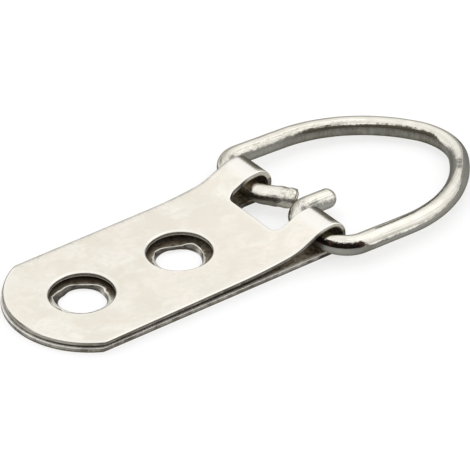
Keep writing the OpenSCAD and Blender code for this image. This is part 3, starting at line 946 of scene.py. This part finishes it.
def make_pieces():
    """The two visible pieces, each in place of its solid."""
    verts, faces, mats, norms, paint = build_strap()
    strap = make_mesh("strap_plate", verts, faces, paint, mats, norms)
    for mat in (plated_face(), worn_metal("nickel_sheared", SHEARED, 0.30, (1400, 1400, 300)),
                worn_metal("nickel_inside", INSIDE, 0.25, (1100, 1100, 1100), inner=True)):
        strap.data.materials.append(mat)
    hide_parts("strap")
    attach(strap, "strap")
    verts, faces, paint = build_ring()
    ring = make_mesh("ring_wire", verts, faces, paint)
    ring.data.materials.append(plated_wire())
    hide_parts("d_ring")
    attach(ring, "ring")
    for node, piece in (("strap", strap), ("d_ring", ring)):
        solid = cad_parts[node].data
        solid.materials.clear()
        solid.materials.append(piece.data.materials[0])


def make_camera():
    """The photograph's own view."""
    cam = bpy.data.cameras.new("camera")
    cam.sensor_width = SENSOR
    cam.lens = FOCAL_PX / PHOTO_PX * SENSOR
    cam.clip_start, cam.clip_end = CAM_NEAR, CAM_FAR
    ob = bpy.data.objects.new("camera", cam)
    bpy.context.collection.objects.link(ob)
    view = Vector((math.sin(CAM_TURN) * math.cos(CAM_TILT), math.cos(CAM_TURN) * math.cos(CAM_TILT),
                   -math.sin(CAM_TILT)))
    right = Vector((math.cos(CAM_TURN), -math.sin(CAM_TURN), 0))
    ob.location = (right * CAM_RIGHT + right.cross(view) * CAM_UP - view * CAM_BACK) * MM
    ob.rotation_mode = "QUATERNION"
    ob.rotation_quaternion = (-view).to_track_quat("Z", "Y")
    bpy.context.scene.camera = ob


def make_floor():
    """White paper that takes the part's shadow; the glow that whitens it is seen but lights nothing."""
    me = bpy.data.meshes.new("floor")
    r = FLOOR_HALF
    me.from_pydata([(-r, -r, 0), (r, -r, 0), (r, r, 0), (-r, r, 0)], [], [(0, 1, 2, 3)])
    floor = bpy.data.objects.new("floor", me)
    bpy.context.collection.objects.link(floor)
    floor.location.z = -FLOOR_DROP
    mat = bpy.data.materials.new("floor_paper")
    g = empty_tree(mat)
    out = g.add("ShaderNodeOutputMaterial")
    path = g.add("ShaderNodeLightPath")
    paper = g.add("ShaderNodeBsdfDiffuse", inputs={"Color": PAPER})
    glow = g.add("ShaderNodeEmission", inputs={"Color": (1, 1, 1, 1)})
    seen = g.math("MAXIMUM", path.outputs["Is Camera Ray"],
                  g.math("MAXIMUM", path.outputs["Is Glossy Ray"], path.outputs["Is Transmission Ray"]))
    g.link(g.times(seen, FLOOR_GLOW), glow.inputs["Strength"])
    both = g.add("ShaderNodeAddShader")
    g.link(paper.outputs[0], both.inputs[0])
    g.link(glow.outputs[0], both.inputs[1])
    g.link(both.outputs[0], out.inputs[0])
    me.materials.append(mat)


def make_sky():
    """An even studio sky over grey and white screens, for the metal to mirror."""
    world = bpy.data.worlds.new("studio")
    bpy.context.scene.world = world
    g = empty_tree(world)
    out = g.add("ShaderNodeOutputWorld")
    bg = g.add("ShaderNodeBackground")
    g.link(bg.outputs[0], out.inputs[0])
    sep = g.add("ShaderNodeSeparateXYZ")
    g.link(g.add("ShaderNodeTexCoord").outputs["Generated"], sep.inputs[0])
    turn = g.math("ARCTAN2", sep.outputs["X"], sep.outputs["Y"])
    turn = g.plus(g.math("DIVIDE", turn, 2 * math.pi), 0.5)
    screen = g.ramp(turn, [(t / 360 + 0.5, bright) for t, bright, _ in SCREENS])
    top = g.ramp(turn, [(t / 360 + 0.5, height) for t, _, height in SCREENS])
    g.link(g.over(screen, g.plus(g.minus(sep.outputs["Z"], top), 0.5), (0.46, 0.54, 1.0), (1.0, 1.0, 1.0)),
           bg.inputs["Color"])


def add_lamp(name, shape, size, power, place, back):
    """An area lamp at a place in metres; back points away from what it lights."""
    lamp = bpy.data.lights.new(name, "AREA")
    lamp.shape = shape
    lamp.size = lamp.size_y = size
    lamp.energy = power
    ob = bpy.data.objects.new(name, lamp)
    ob.location = place
    ob.rotation_mode = "QUATERNION"
    ob.rotation_quaternion = back.to_track_quat("Z", "Y")
    bpy.context.collection.objects.link(ob)
    return ob


def make_stage():
    """A white paper floor, a studio sky and two soft lamps overhead."""
    make_floor()
    make_sky()
    place = Vector(TOP_PLACE)
    top = add_lamp("soft_top", "RECTANGLE", TOP_SIZE, TOP_POWER, place, place - Vector(TOP_AIM))
    top.visible_glossy = False
    way = Vector(BOX_WAY).normalized()
    power = BOX_SIZE ** 2 * math.pi / 4 * math.pi * BOX_GAIN
    add_lamp("soft_box", "DISK", BOX_SIZE, power, Vector(BOX_AIM) + way * BOX_FAR, way)


make_pieces()
make_camera()
make_stage()
bpy.context.scene.view_settings.view_transform = "Standard"
